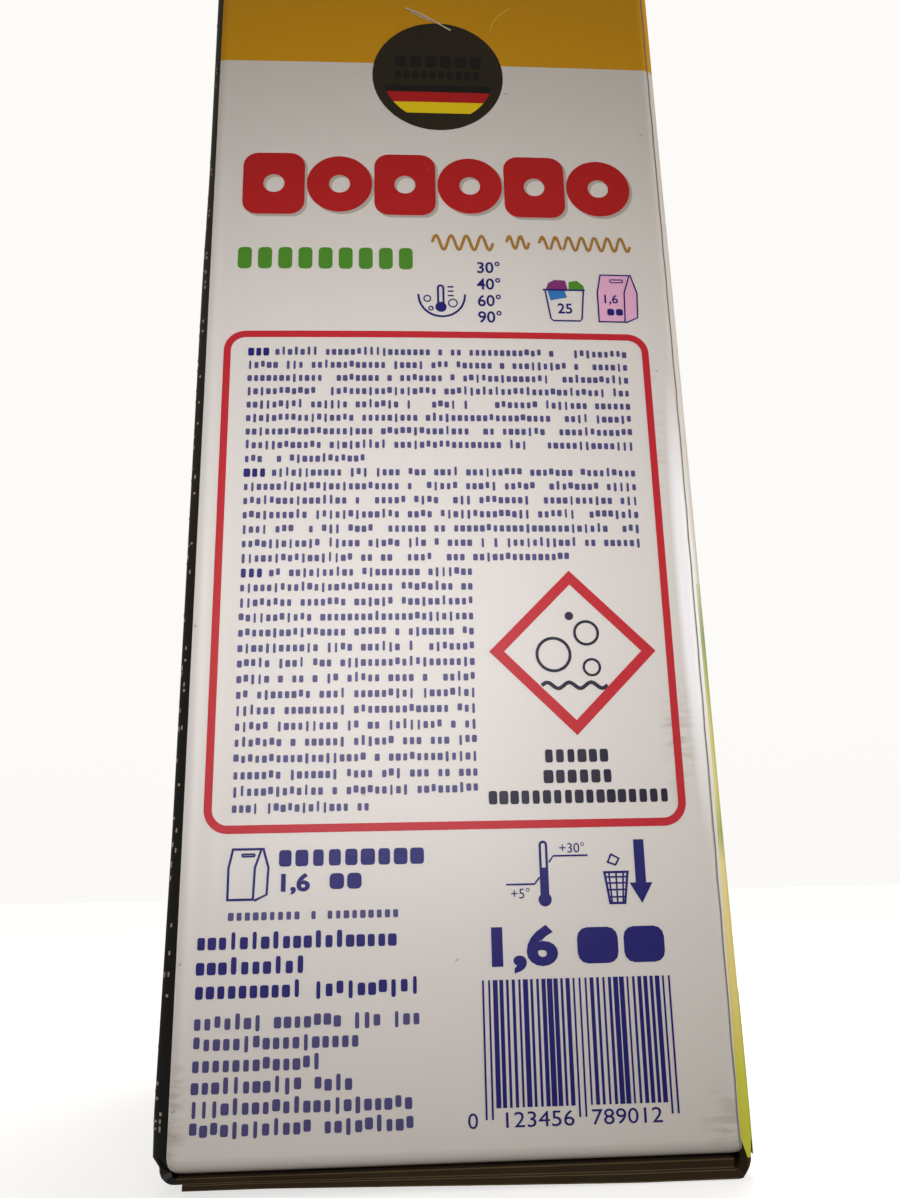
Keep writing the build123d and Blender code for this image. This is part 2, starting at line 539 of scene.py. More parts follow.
def crushFoot(mesh):
    # The foot's corner under the dark and printed faces was set down hard: its flaps are thinner.
    for vertex in mesh.vertices:
        x, y, z = vertex.co / mm
        if z > crush["high"]:
            continue
        alongFold = max(0.0, 1 - (y + halfDepth) / crush["along"])
        inFromEdge = max(0.0, 1 - (halfWidth - x) / crush["deep"])
        weight = min(1.0, alongFold * crush["hold"]) * min(1.0, inFromEdge)
        vertex.co.z = (crush["high"] - (crush["high"] - z) * (1 - crush["share"] * weight)) * mm
    mesh.update()


def inkAndShadeCorner(mesh):
    # The cut edge at the foot's corner takes the dark ink: partly the dark print pressed over it, partly
    # painted shade of that corner.
    for polygon in mesh.polygons:
        x, y, z = polygon.center / mm
        atCorner = y < crush["darkDeep"] - halfDepth and x > halfWidth - crush["darkWide"]
        if polygon.material_index == slotOf["raw"] and atCorner and z < foldTop:
            polygon.material_index = slotOf["dark"]


sheetMesh = evaluatedMesh(foldedSheet())
inkAndShadeCorner(sheetMesh)
crushFoot(sheetMesh)
sheetMesh.set_sharp_from_angle(angle=math.radians(40))
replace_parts(finishedPiece("cartonSheet", sheetMesh), "carton")


print("sheet folded and closed")


# Flat places are mm: s to the right of a panel's left print edge, h up from its lower fold.

inkFilm = {
    "thick": 0.05,        # far thicker than real ink, so that its edges stay clean
    "under": 0.02,        # middle of a film that other ink lies on
    "over": 0.045,
    "top": 0.06,
    "cut": 6.0,           # films are cut into strips this wide, to bow with the panel
    "foot": 3.6,          # height of a panel's lower fold
    "overrun": 1.4,       # print runs this far past the flat of a panel
    "merge": 0.0005,
    "cutShift": 0.013,    # keeps the cuts off the outlines' own points
}


def arcPoints(s, h, radius, start, end, steps):
    angles = [math.radians(start + (end - start) * k / steps) for k in range(steps + 1)]
    return [(s + radius * math.cos(a), h + radius * math.sin(a)) for a in angles]


def disc(s, h, radius, steps=40):
    return arcPoints(s, h, radius, 0, 360, steps)[:-1]


def roundBox(left, foot, right, head, radius, steps=5):
    points = []
    corners = [(right, head, 0), (left, head, 90), (left, foot, 180), (right, foot, 270)]
    for x, y, angle in corners:
        s = x - radius if x == right else x + radius
        h = y - radius if y == head else y + radius
        points += arcPoints(s, h, radius, angle, angle + 90, steps)
    return points


def inset(loop, width):
    # The same closed outline, moved in by width on every side.
    area = sum(a[0] * b[1] - b[0] * a[1] for a, b in zip(loop, loop[1:] + loop[:1]))
    turn = 1 if area > 0 else -1
    points = []
    for before, here, after in zip(loop[-1:] + loop[:-1], loop, loop[1:] + loop[:1]):
        one = Vector((here[0] - before[0], here[1] - before[1])).normalized()
        two = Vector((after[0] - here[0], after[1] - here[1])).normalized()
        normal = Vector((-one.y - two.y, one.x + two.x)).normalized() * turn
        reach = width / max(0.35, normal.dot(Vector((-one.y, one.x)) * turn))
        points.append((here[0] + normal.x * reach, here[1] + normal.y * reach))
    return points


def outlined(loop, width):
    return [loop, inset(loop, width)]


def stroke(points, width):
    # An open line drawn with a pen of that width.
    sides = ([], [])
    for k, here in enumerate(points):
        before, after = points[max(k - 1, 0)], points[min(k + 1, len(points) - 1)]
        along = Vector((after[0] - before[0], after[1] - before[1])).normalized() * width / 2
        sides[0].append((here[0] - along.y, here[1] + along.x))
        sides[1].append((here[0] + along.y, here[1] - along.x))
    return [sides[0] + sides[1][::-1]]


def wave(s, h, length, step, height, width, pointsPerStep=12):
    count = round(length / step * pointsPerStep)
    line = []
    for k in range(count + 1):
        share = k / count
        line.append((s + length * share, h + height * math.sin(2 * math.pi * length / step * share)))
    return stroke(line, width)


def bubbleTiles(left, foot, right, head, count, gap):
    # A row of tiles, square and round by turns, each with a bubble left open in it.
    wide = (right - left - gap * (count - 1)) / count
    groups = []
    for k in range(count):
        s = left + k * (wide + gap)
        middle = (s + wide / 2, (foot + head) / 2)
        if k % 2 == 0:
            tile = roundBox(s, foot, s + wide, head, wide * 0.24)
        else:
            tile = disc(*middle, wide / 2 + gap * 0.5)
        groups.append([tile, disc(*middle, wide * 0.17, 28)])
    return groups


def wordBlocks(left, foot, right, head, count, gap):
    wide = (right - left - gap * (count - 1)) / count
    blocks = []
    for k in range(count):
        s = left + k * (wide + gap)
        blocks.append(roundBox(s, foot, s + wide, head, min(wide, head - foot) * 0.3, 3))
    return [blocks]


def circleBand(s, h, radius, foot, head):
    # The part of a disc between two heights.
    low, high = (math.degrees(math.asin((y - h) / radius)) for y in (foot, head))
    right = arcPoints(s, h, radius, low, high, 6)
    return right + [(2 * s - x, y) for x, y in reversed(right)]


def thermometer(s, foot, head, width):
    bulb = width * 0.75
    tube = roundBox(s - width / 2, foot + bulb, s + width / 2, head, width * 0.49, 4)
    return [outlined(tube, width * 0.28), [disc(s, foot + bulb, bulb, 20)]]


def packIcon(s, foot, wide, high, line):
    # A pack with a hand hole, seen a little from its side.
    front = [(s, foot), (s + wide * 0.67, foot), (s + wide * 0.7, foot + high * 0.62),
             (s + wide * 0.86, foot + high), (s + wide * 0.1, foot + high),
             (s, foot + high * 0.62)]
    side = [(s + wide * 0.67, foot), (s + wide * 0.97, foot + high * 0.11),
            (s + wide, foot + high * 0.62), (s + wide * 0.86, foot + high),
            (s + wide * 0.7, foot + high * 0.62)]
    hole = roundBox(s + wide * 0.33, foot + high * 0.82, s + wide * 0.68, foot + high * 0.9,
                    high * 0.038, 4)
    return front, side, [outlined(front, line), stroke(side[:4], line), outlined(hole, line * 0.8)]


def outlineMesh(loops):
    data = bpy.data.curves.new("outline", "CURVE")
    data.dimensions = "2D"
    data.fill_mode = "BOTH"
    data.extrude = inkFilm["thick"] / 2
    for loop in loops:
        spline = data.splines.new("POLY")
        spline.points.add(len(loop) - 1)
        for point, place in zip(spline.points, loop):
            point.co = (place[0], place[1], 0, 1)
        spline.use_cyclic_u = True
    drawing = bpy.data.objects.new("outline", data)
    bpy.context.scene.collection.objects.link(drawing)
    return evaluatedMesh(drawing)


def figuresMesh(figures, s, h, size, bold=0.0, wide=1.0):
    # Plain figures as on a dial. Size is the height of one figure.
    data = bpy.data.curves.new("figures", "FONT")
    data.body = figures
    data.size = size / 0.73
    data.offset = bold
    data.fill_mode = "BOTH"
    data.extrude = inkFilm["thick"] / 2
    data.resolution_u = 4
    drawing = bpy.data.objects.new("figures", data)
    bpy.context.scene.collection.objects.link(drawing)
    mesh = evaluatedMesh(drawing)
    mesh.transform(Matrix.Translation((s, h, 0)) @ Matrix.Diagonal((wide, 1, 1, 1)))
    return mesh


def wrapMesh(name, form, panel, lift, ink=None):
    # Cuts a flat film (a bmesh in mm) into strips and lays it on a panel of the carton.
    bmesh.ops.remove_doubles(form, verts=form.verts, dist=inkFilm["merge"])
    start = alongSheet[flatStart[panel]] - inkFilm["overrun"]
    for axis in (0, 1):
        places = [v.co[axis] for v in form.verts]
        first = math.ceil(min(places) / inkFilm["cut"])
        last = math.floor(max(places) / inkFilm["cut"])
        cuts = [k * inkFilm["cut"] + inkFilm["cutShift"] for k in range(first, last + 1)]
        if axis == 0 and min(places) < inkFilm["overrun"]:
            cuts += [alongSheet[flatStart[panel] - k] - start
                     for k in range(carton["driftColumns"])]  # round the fold
        for cut in cuts:
            centre, normal = Vector((0, 0, 0)), Vector((0, 0, 0))
            centre[axis], normal[axis] = cut, 1
            everything = form.verts[:] + form.edges[:] + form.faces[:]
            bmesh.ops.bisect_plane(form, geom=everything, plane_co=centre, plane_no=normal)
    bmesh.ops.triangulate(form, faces=form.faces)
    bmesh.ops.recalc_face_normals(form, faces=form.faces)
    flatPlaces = [(start + v.co.x, inkFilm["foot"] + v.co.y, lift + v.co.z) for v in form.verts]
    for vertex, place in zip(form.verts, wrapSheet(flatPlaces)):
        vertex.co = place
    mesh = bpy.data.meshes.new(name)
    form.to_mesh(mesh)
    form.free()
    if ink:
        mesh.materials.append(ink)
    return finishedPiece(name, mesh)


def inkPiece(name, panel, ink, groups, lift="over", meshes=()):
    form = bmesh.new()
    for mesh in [outlineMesh(loops) for loops in groups] + list(meshes):
        form.from_mesh(mesh)
        bpy.data.meshes.remove(mesh)
    return wrapMesh(name, form, panel, inkFilm[lift], ink)


def newTree(name, inputs):
    tree = bpy.data.node_groups.new(name, "GeometryNodeTree")
    tree.interface.new_socket("Geometry", in_out="INPUT", socket_type="NodeSocketGeometry")
    for label, kind in inputs.items():
        tree.interface.new_socket(label, in_out="INPUT", socket_type=kind)
    tree.interface.new_socket("Geometry", in_out="OUTPUT", socket_type="NodeSocketGeometry")
    return tree, addNode(tree, "NodeGroupInput").outputs


def runTree(tree, source, values):
    worker = bpy.data.objects.new("worker", source)
    bpy.context.scene.collection.objects.link(worker)
    rule = worker.modifiers.new("rule", "NODES")
    rule.node_group = tree
    for item in tree.interface.items_tree:
        if item.in_out == "INPUT" and item.name in values:
            rule[item.identifier] = values[item.name]
    return evaluatedMesh(worker)


def markObject():
    # A rounded bar one unit wide and high, which stands for a letter of small type.
    mesh = outlineMesh([roundBox(-0.5, -0.5, 0.5, 0.5, 0.2, 2)])
    for vertex in mesh.vertices:
        vertex.co.z = 0.5 if vertex.co.z > 0 else -0.5
    return bpy.data.objects.new("mark", mesh)


def typeRowTree():
    # One point for each row becomes a row of small blocks, some tall, with gaps for words.
    tree, given = newTree("typeRows", {"Seed": "NodeSocketInt", "Thickness": "NodeSocketFloat",
                                       "Ink": "NodeSocketMaterial"})
    named = {label: addNode(tree, "GeometryNodeInputNamedAttribute", {"Name": label},
                            data_type="FLOAT").outputs[0]
             for label in ("letters", "pitch", "size", "gaps", "tallShare", "fill")}
    copies = addNode(tree, "GeometryNodeDuplicateElements",
                     {"Geometry": given["Geometry"], "Amount": named["letters"]}, domain="POINT")
    order = copies.outputs["Duplicate Index"]
    along = addNode(tree, "ShaderNodeMath", {0: order, 1: named["pitch"]}, operation="MULTIPLY")
    chance = addNode(tree, "FunctionNodeRandomValue", {"Seed": given["Seed"]}, data_type="FLOAT")
    isTall = addNode(tree, "ShaderNodeMath", {0: chance.outputs[1], 1: named["tallShare"]},
                     operation="LESS_THAN")
    raised = addNode(tree, "ShaderNodeMath", {0: isTall.outputs[0], 1: named["size"]},
                     operation="MULTIPLY")
    lifted = addNode(tree, "ShaderNodeMath", {0: raised.outputs[0], 1: 0.2},
                      operation="MULTIPLY")
    step = addNode(tree, "ShaderNodeCombineXYZ", {"X": along.outputs[0], "Y": lifted.outputs[0]})
    placed = addNode(tree, "GeometryNodeSetPosition",
                     {"Geometry": copies.outputs[0], "Offset": step.outputs[0]})
    shifted = addNode(tree, "ShaderNodeMath", {0: given["Seed"], 1: 7.0}, operation="ADD")
    gapChance = addNode(tree, "FunctionNodeRandomValue", {"Seed": shifted.outputs[0]},
                        data_type="FLOAT")
    isGap = addNode(tree, "ShaderNodeMath", {0: gapChance.outputs[1], 1: named["gaps"]},
                    operation="LESS_THAN")
    afterStart = addNode(tree, "ShaderNodeMath", {0: order, 1: 1.5}, operation="GREATER_THAN")
    lastButOne = addNode(tree, "ShaderNodeMath", {0: named["letters"], 1: 2.5},
                         operation="SUBTRACT")
    beforeEnd = addNode(tree, "ShaderNodeMath", {0: order, 1: lastButOne.outputs[0]},
                        operation="LESS_THAN")
    inside = addNode(tree, "ShaderNodeMath", {0: afterStart.outputs[0], 1: beforeEnd.outputs[0]},
                     operation="MULTIPLY")
    gone = addNode(tree, "ShaderNodeMath", {0: isGap.outputs[0], 1: inside.outputs[0]},
                   operation="MULTIPLY")
    kept = addNode(tree, "GeometryNodeDeleteGeometry",
                   {"Geometry": placed.outputs[0], "Selection": gone.outputs[0]}, domain="POINT")
    spread = addNode(tree, "ShaderNodeMapRange", {"Value": gapChance.outputs[1],
                                                  "To Min": 0.7, "To Max": 1.0})
    narrowed = addNode(tree, "ShaderNodeMapRange", {"Value": isTall.outputs[0],
                                                    "To Min": 1.0, "To Max": 0.6})
    wide = addNode(tree, "ShaderNodeMath", {0: named["pitch"], 1: named["fill"]},
                   operation="MULTIPLY")
    wide = addNode(tree, "ShaderNodeMath", {0: wide.outputs[0], 1: spread.outputs[0]},
                   operation="MULTIPLY")
    wide = addNode(tree, "ShaderNodeMath", {0: wide.outputs[0], 1: narrowed.outputs[0]},
                   operation="MULTIPLY")
    high = addNode(tree, "ShaderNodeMath", {0: raised.outputs[0], 1: 0.4}, operation="MULTIPLY")
    high = addNode(tree, "ShaderNodeMath", {0: high.outputs[0], 1: named["size"]},
                   operation="ADD")
    size = addNode(tree, "ShaderNodeCombineXYZ",
                   {"X": wide.outputs[0], "Y": high.outputs[0], "Z": given["Thickness"]})
    mark = addNode(tree, "GeometryNodeObjectInfo", {"Object": markObject()})
    blocks = addNode(tree, "GeometryNodeInstanceOnPoints",
                     {"Points": kept.outputs[0], "Instance": mark.outputs["Geometry"],
                      "Scale": size.outputs[0]})
    solid = addNode(tree, "GeometryNodeRealizeInstances", {"Geometry": blocks.outputs[0]})
    inked = addNode(tree, "GeometryNodeSetMaterial",
                    {"Geometry": solid.outputs[0], "Material": given["Ink"]})
    addNode(tree, "NodeGroupOutput", {"Geometry": inked.outputs[0]})
    return tree


typeRows = typeRowTree()


def typePiece(name, panel, ink, rows, seed, upright=False):
    # Each row is left, middle height, right, block height, pitch, share of gaps, share of tall
    # blocks, and how much of its pitch a block fills.
    points = bpy.data.meshes.new("rowStarts")
    points.from_pydata([(row[0] + row[4] / 2, row[1], 0) for row in rows], [], [])
    counts = [max(1, round((row[2] - row[0]) / row[4])) for row in rows]
    columns = {
        "letters": counts,
        "pitch": [(row[2] - row[0]) / count for row, count in zip(rows, counts)],
        "size": [row[3] for row in rows],
        "gaps": [row[5] for row in rows],
        "tallShare": [row[6] for row in rows],
        "fill": [row[7] for row in rows],
    }
    for label, values in columns.items():
        points.attributes.new(label, "FLOAT", "POINT").data.foreach_set("value", values)
    mesh = runTree(typeRows, points, {"Seed": seed, "Thickness": inkFilm["thick"], "Ink": ink})
    if upright:
        mesh.transform(Matrix(((0, 1, 0, 0), (1, 0, 0, 0), (0, 0, 1, 0), (0, 0, 0, 1))))
    form = bmesh.new()
    form.from_mesh(mesh)
    return wrapMesh(name, form, panel, inkFilm["over"], ink)


stripes = {"left": 50.5, "head": 27.5, "pitch": 1.01, "count": 32, "height": 19.4, "guard": 1.7,
           "thinnest": 0.3, "widest": 0.92, "guardWide": 0.32}  # shares of the pitch


def stripeTree():
    # Upright stripes of uneven width, with longer guard stripes at both ends and the middle.
    tree, given = newTree("stripeCode", {
        "Count": "NodeSocketInt", "Pitch": "NodeSocketFloat", "Height": "NodeSocketFloat",
        "Guard": "NodeSocketFloat", "Thickness": "NodeSocketFloat", "Seed": "NodeSocketInt",
        "Ink": "NodeSocketMaterial"})
    across = addNode(tree, "ShaderNodeCombineXYZ", {"X": given["Pitch"]})
    line = addNode(tree, "GeometryNodeMeshLine",
                   {"Count": given["Count"], "Offset": across.outputs[0]})
    order = addNode(tree, "GeometryNodeInputIndex")
    last = addNode(tree, "ShaderNodeMath", {0: given["Count"], 1: 1.0}, operation="SUBTRACT")
    middle = addNode(tree, "ShaderNodeMath", {0: last.outputs[0], 1: 2.0}, operation="DIVIDE")
    away = addNode(tree, "ShaderNodeMath", {0: order.outputs[0], 1: middle.outputs[0]},
                   operation="SUBTRACT")
    away = addNode(tree, "ShaderNodeMath", {0: away.outputs[0]}, operation="ABSOLUTE")
    rim = addNode(tree, "ShaderNodeMath", {0: middle.outputs[0], 1: 1.5}, operation="SUBTRACT")
    atEnd = addNode(tree, "ShaderNodeMath", {0: away.outputs[0], 1: rim.outputs[0]},
                    operation="GREATER_THAN")
    atMiddle = addNode(tree, "ShaderNodeMath", {0: away.outputs[0], 1: 1.0},
                       operation="LESS_THAN")
    guard = addNode(tree, "ShaderNodeMath", {0: atEnd.outputs[0], 1: atMiddle.outputs[0]},
                    operation="MAXIMUM")
    extra = addNode(tree, "ShaderNodeMath", {0: guard.outputs[0], 1: given["Guard"]},
                    operation="MULTIPLY")
    tallness = addNode(tree, "ShaderNodeMath", {0: extra.outputs[0], 1: given["Height"]},
                       operation="ADD")
    drop = addNode(tree, "ShaderNodeMath", {0: tallness.outputs[0], 1: -0.5},
                   operation="MULTIPLY")
    downward = addNode(tree, "ShaderNodeCombineXYZ", {"Y": drop.outputs[0]})
    placed = addNode(tree, "GeometryNodeSetPosition",
                     {"Geometry": line.outputs[0], "Offset": downward.outputs[0]})
    chance = addNode(tree, "FunctionNodeRandomValue",
                     {2: stripes["thinnest"], 3: stripes["widest"], "Seed": given["Seed"]}, data_type="FLOAT")
    thin = addNode(tree, "ShaderNodeMapRange", {"Value": guard.outputs[0],
                                                "To Min": chance.outputs[1],
                                                "To Max": stripes["guardWide"]})
    wide = addNode(tree, "ShaderNodeMath", {0: thin.outputs[0], 1: given["Pitch"]},
                   operation="MULTIPLY")
    size = addNode(tree, "ShaderNodeCombineXYZ",
                   {"X": wide.outputs[0], "Y": tallness.outputs[0], "Z": given["Thickness"]})
    block = addNode(tree, "GeometryNodeMeshCube", {"Size": (1, 1, 1)})
    bars = addNode(tree, "GeometryNodeInstanceOnPoints",
                   {"Points": placed.outputs[0], "Instance": block.outputs[0],
                    "Scale": size.outputs[0]})
    solid = addNode(tree, "GeometryNodeRealizeInstances", {"Geometry": bars.outputs[0]})
    inked = addNode(tree, "GeometryNodeSetMaterial",
                    {"Geometry": solid.outputs[0], "Material": given["Ink"]})
    addNode(tree, "NodeGroupOutput", {"Geometry": inked.outputs[0]})
    return tree


side = 3  # the narrow panel that looks to +X

tileRow = {"box": (5.8, 174.9, 85.6, 189.6), "count": 6, "gap": 0.8, "shadow": 0.55}


def printTiles(panel, prefix, row):
    # A maker's name would stand here: plain tiles with a soft shadow take its place.
    tiles = bubbleTiles(*row["box"], row["count"], row["gap"])
    drop = row["shadow"]
    shadow = [[[(s + drop, h - drop) for s, h in loop] for loop in group] for group in tiles]
    inkPiece(prefix + "TileShadow", panel, shadowInk, shadow, "under")
    inkPiece(prefix + "Tiles", panel, redInk, tiles)


seal = {
    "s": 46.3,
    "h": 210.0,
    "radius": 14.0,
    "band": 11.8,          # radius of the disc that the bands are cut from
    "levels": (200.3, 203.1, 205.7, 207.4),  # the yellow, red and black bands, from the foot up
    "words": ((-9.2, 212.1, 9.4, 215.2, 6, 0.8), (-9.2, 209.2, 8.8, 211.2, 10, 0.6)),
}


def printSeal(panel, prefix, shift=0.0):
    s, h = seal["s"] + shift, seal["h"]
    yellow, red, black = ([[circleBand(s, h, seal["band"], foot, head)]]
                          for foot, head in zip(seal["levels"], seal["levels"][1:]))
    inkPiece(prefix + "Seal", panel, bronzeInk, [[disc(s, h, seal["radius"], 96)]], "under")
    for left, foot, right, head, count, gap in seal["words"]:
        black += wordBlocks(s + left, foot, s + right, head, count, gap)
    inkPiece(prefix + "SealBlack", panel, sealBlackInk, black)
    inkPiece(prefix + "SealRed", panel, redInk, red)
    inkPiece(prefix + "SealYellow", panel, brightYellowInk, yellow)


variety = {
    "word": (5.4, 162.2, 40.4, 167.1, 9, 1.25),
    "waves": ((44.4, 168.6, 12.4, 3.1, 1.7, 0.6), (59.6, 168.9, 4.6, 2.3, 1.5, 0.58),
              (66.3, 168.8, 18.8, 2.7, 1.6, 0.55)),
}


def printVariety():
    inkPiece("greenWord", side, greenInk, wordBlocks(*variety["word"]))
    inkPiece("goldScript", side, goldInk, [wave(*line) for line in variety["waves"]])


careRow = {
    "degrees": {"30": 163.0, "40": 159.2, "60": 155.4, "90": 151.7},  # middles of the four lines
    "degreesLeft": 53.2,
    "degreesDrop": 1.35,
    "degreesSize": 2.6,
    "basin": (46.1, 156.2, 4.6),
    "rim": (41.4, 50.8, 156.6),
    "bubbles": ((43.2, 155.6, 0.8), (48.3, 154.6, 1.0), (43.9, 153.4, 0.55)),
    "ticks": (158.3, 157.3, 156.3),
    "thermometer": (45.9, 152.6, 158.8, 1.5),
    "pack": (77.5, 150.8, 8.3, 11.0, 0.3),
    "packWord": (79.4, 152.4, 82.6, 153.9, 2, 0.35),
}


def printCareRow():
    c = careRow
    figures = [figuresMesh(f"{label}°", c["degreesLeft"], h - c["degreesDrop"], c["degreesSize"], 0.05)
               for label, h in c["degrees"].items()]
    left, right, h = c["rim"]
    basin = [stroke([(left, h)] + arcPoints(*c["basin"], 188, 352, 18) + [(right, h)], 0.42)]
    bubbles = [outlined(disc(*bubble, 18), 0.26) for bubble in c["bubbles"]]
    ticks = [stroke([(47.3, h), (48.5, h)], 0.3) for h in c["ticks"]]
    basket = [stroke([(66.5, 158.0), (75.1, 158.0)], 0.36),
              stroke([(67.0, 157.9), (67.9, 151.5), (68.4, 151.0), (73.8, 151.0),
                      (74.2, 151.5), (74.8, 157.9)], 0.32)]
    front, sideFace, pack = packIcon(*c["pack"])
    figures.append(figuresMesh("25", 69.3, 152.7, 2.3, 0.05))
    figures.append(figuresMesh("1,6", 78.5, 155.2, 2.0, 0.04))
    inkPiece("careIcons", side, navyInk,
             basin + bubbles + ticks + thermometer(*c["thermometer"]) + basket + pack
             + wordBlocks(*c["packWord"]), meshes=figures)
    inkPiece("pinkPack", side, pinkInk, [[front], [sideFace]], "under")
    magenta = [[(67.2, 158.2), (67.7, 159.6), (69.0, 160.3), (71.2, 160.2), (71.6, 158.2)]]
    blue = [[(67.5, 157.8), (71.0, 157.8), (71.4, 156.3), (68.0, 155.6)]]
    leaf = [[(71.8, 158.2), (71.9, 159.9), (73.6, 160.2), (74.9, 159.0), (75.0, 158.2)]]
    inkPiece("clothMagenta", side, magentaInk, [magenta], "under")
    inkPiece("clothBlue", side, blueInk, [blue], "under")
    inkPiece("clothGreen", side, greenInk, [leaf], "under")


notice = {
    "left": 3.4,
    "right": 87.2,
    "foot": 52.0,
    "head": 148.2,
    "radius": 4.2,
    "line": 1.4,
    "rows": 32,
    "first": 143.6,        # middle of the top row
    "pitch": 2.82,
    "textLeft": 8.0,
    "textRight": 82.8,
    "wideRows": 16,        # the rows below these stop beside the diamond
    "narrow": 50.8,
    "shortRows": {8: 31.0, 15: 69.0, 31: 31.8},
    "headRows": (0, 9, 16),  # rows that begin with a short dark word
    "diamond": (68.6, 83.3, 15.3, 2.7),
}


def printNotice():
    n = notice
    outer = roundBox(n["left"], n["foot"], n["right"], n["head"], n["radius"], 10)
    inner = roundBox(n["left"] + n["line"], n["foot"] + n["line"], n["right"] - n["line"],
                     n["head"] - n["line"], n["radius"] - n["line"], 10)
    s, h, half, line = n["diamond"]
    diamond = [[(s + reach, h), (s, h + reach), (s - reach, h), (s, h - reach)]
               for reach in (half, half - line)]
    inkPiece("noticeFrame", side, frameInk, [[outer, inner], diamond])
    rings = [outlined(disc(s - 3.6, h - 0.6, 3.3), 0.55),
             outlined(disc(s + 2.6, h + 3.4, 2.4), 0.5),
             outlined(disc(s + 3.3, h - 3.0, 1.7), 0.45),
             [disc(s - 0.4, h + 6.6, 0.8, 16)]]
    inkPiece("noticeBubbles", side, softBlackInk,
             rings + [wave(s - 6.0, h - 6.3, 12.0, 4.0, 0.55, 0.7)])
    rows, words = [], []
    for line in range(n["rows"]):
        h = n["first"] - line * n["pitch"]
        right = n["textRight"] if line < n["wideRows"] else n["narrow"]
        right = n["shortRows"].get(line, right)
        left = n["textLeft"]
        if line in n["headRows"]:
            words.append((left, h, left + 4.4, 1.7, 1.45, 0, 0, 0.86))
            left += 5.2
        rows.append((left, h - 0.05, right, 1.27, 1.22, 0.14, 0.2, 0.76))
    typePiece("noticeType", side, fineInk, rows, 4)
    typePiece("noticeHeads", side, navyInk, words, 6)
    typePiece("noticeWords", side, softBlackInk, [
        (62.3, 64.4, 74.1, 2.3, 1.97, 0, 0, 0.84), (62.0, 60.8, 74.6, 2.3, 2.1, 0, 0, 0.84),
        (52.2, 57.3, 84.4, 2.3, 1.89, 0, 0, 0.84)], 9)


def printFoot():
    pack = packIcon(7.8, 41.0, 6.9, 8.6, 0.4)[2]
    scale = [stroke([(62.4, 46.2), (63.2, 47.3), (69.2, 47.3)], 0.3),
             stroke([(54.9, 42.7), (59.8, 42.7), (60.7, 43.8)], 0.3)]
    gauge = thermometer(61.5, 39.0, 49.9, 1.5) + [[roundBox(61.1, 40.3, 61.9, 45.4, 0.2, 2)]]
    binSides = [outlined([(71.7, 44.6), (72.5, 39.1), (75.4, 39.1), (76.2, 44.6)], 0.4)]
    middle = 73.95
    binBars = [stroke([(middle + low, 39.4), (middle + high, 44.4)], 0.3)
               for low, high in ((-0.95, -1.25), (0.95, 1.25), (0, 0))]
    binBars += [stroke([(middle - half, h), (middle + half, h)], 0.28)
                for half, h in ((1.5, 40.3), (1.65, 41.5), (1.8, 42.6), (1.95, 43.6))]
    litter = [outlined([(72.4, 46.0), (74.0, 45.4), (74.8, 46.7), (73.2, 47.6)], 0.3)]
    arrow = [[[(78.2, 39.2), (80.2, 42.6), (79.1, 42.6), (79.1, 49.8), (77.3, 49.8),
               (77.3, 42.6), (76.2, 42.6)]]]
    # Figures, left, foot, height, boldness and width.
    figures = [figuresMesh(*item) for item in (
        ("+30°", 64.2, 47.8, 1.7), ("+5°", 55.6, 40.4, 1.7),
        ("1,6", 50.4, 29.9, 6.0, 0.34, 1.28), ("1,6", 16.1, 42.5, 2.8, 0.14, 1.2),
        ("0", 47.4, 5.2, 2.4, 0, 1.1), ("123456", 52.8, 5.2, 2.4, 0, 1.22),
        ("789012", 67.4, 5.2, 2.4, 0, 1.2))]
    blocks = wordBlocks(66.6, 29.7, 81.5, 35.5, 2, 1.0) + wordBlocks(25.0, 42.6, 30.4, 45.2, 2, 0.5)
    inkPiece("footIcons", side, navyInk,
             pack + scale + gauge + binSides + binBars + litter + arrow + blocks, meshes=figures)
    rows = [(16.1, 47.8, 41.2, 2.7, 2.8, 0, 0, 0.88)]
    rows += [(3.1, h, right, 1.95, 1.75, 0.13, 0.22, 0.84)
             for h, right in ((34.3, 36.4), (30.4, 21.3), (26.7, 40.1))]
    typePiece("footType", side, navyInk, rows, 21)
    light = [(8.0, 38.5, 36.8, 1.3, 1.35, 0.1, 0, 0.72)]
    light += [(3.1, h, right, 1.75, 1.62, 0.1, 0.22, 0.8) for h, right in (
        (21.9, 40.2), (18.8, 30.2), (15.6, 24.0), (12.4, 29.2), (9.3, 38.8), (6.2, 39.0))]
    typePiece("footFineType", side, fineInk, light, 33)


def printStripes():
    mesh = runTree(stripeTree(), bpy.data.meshes.new("none"), {
        "Count": stripes["count"], "Pitch": stripes["pitch"], "Height": stripes["height"],
        "Guard": stripes["guard"], "Thickness": inkFilm["thick"], "Seed": 12, "Ink": navyInk})
    mesh.transform(Matrix.Translation((stripes["left"], stripes["head"], 0)))
    form = bmesh.new()
    form.from_mesh(mesh)
    wrapMesh("stripeCode", form, side, inkFilm["over"], navyInk)


printTiles(side, "side", tileRow)
printSeal(side, "side")
printVariety()
printCareRow()
printNotice()
printFoot()
printStripes()
print("narrow side printed")


# The other faces aren't known, so they carry the same generic shapes as the narrow side.
def printBadge(panel, prefix, circle, figures, lifts):
    inkPiece(prefix + "Badge", panel, brightYellowInk, [[disc(*circle, 64)]], lifts[0])
    inkPiece(prefix + "BadgeFigures", panel, navyInk, [], lifts[1],
             meshes=[figuresMesh("25", *figures)])


def printWeight(panel, prefix, ink, blocks, figures):
    # A rounded weight, with blocks for its unit.
    inkPiece(prefix + "Figures", panel, ink, wordBlocks(*blocks),
             meshes=[figuresMesh("1,6", *figures)])


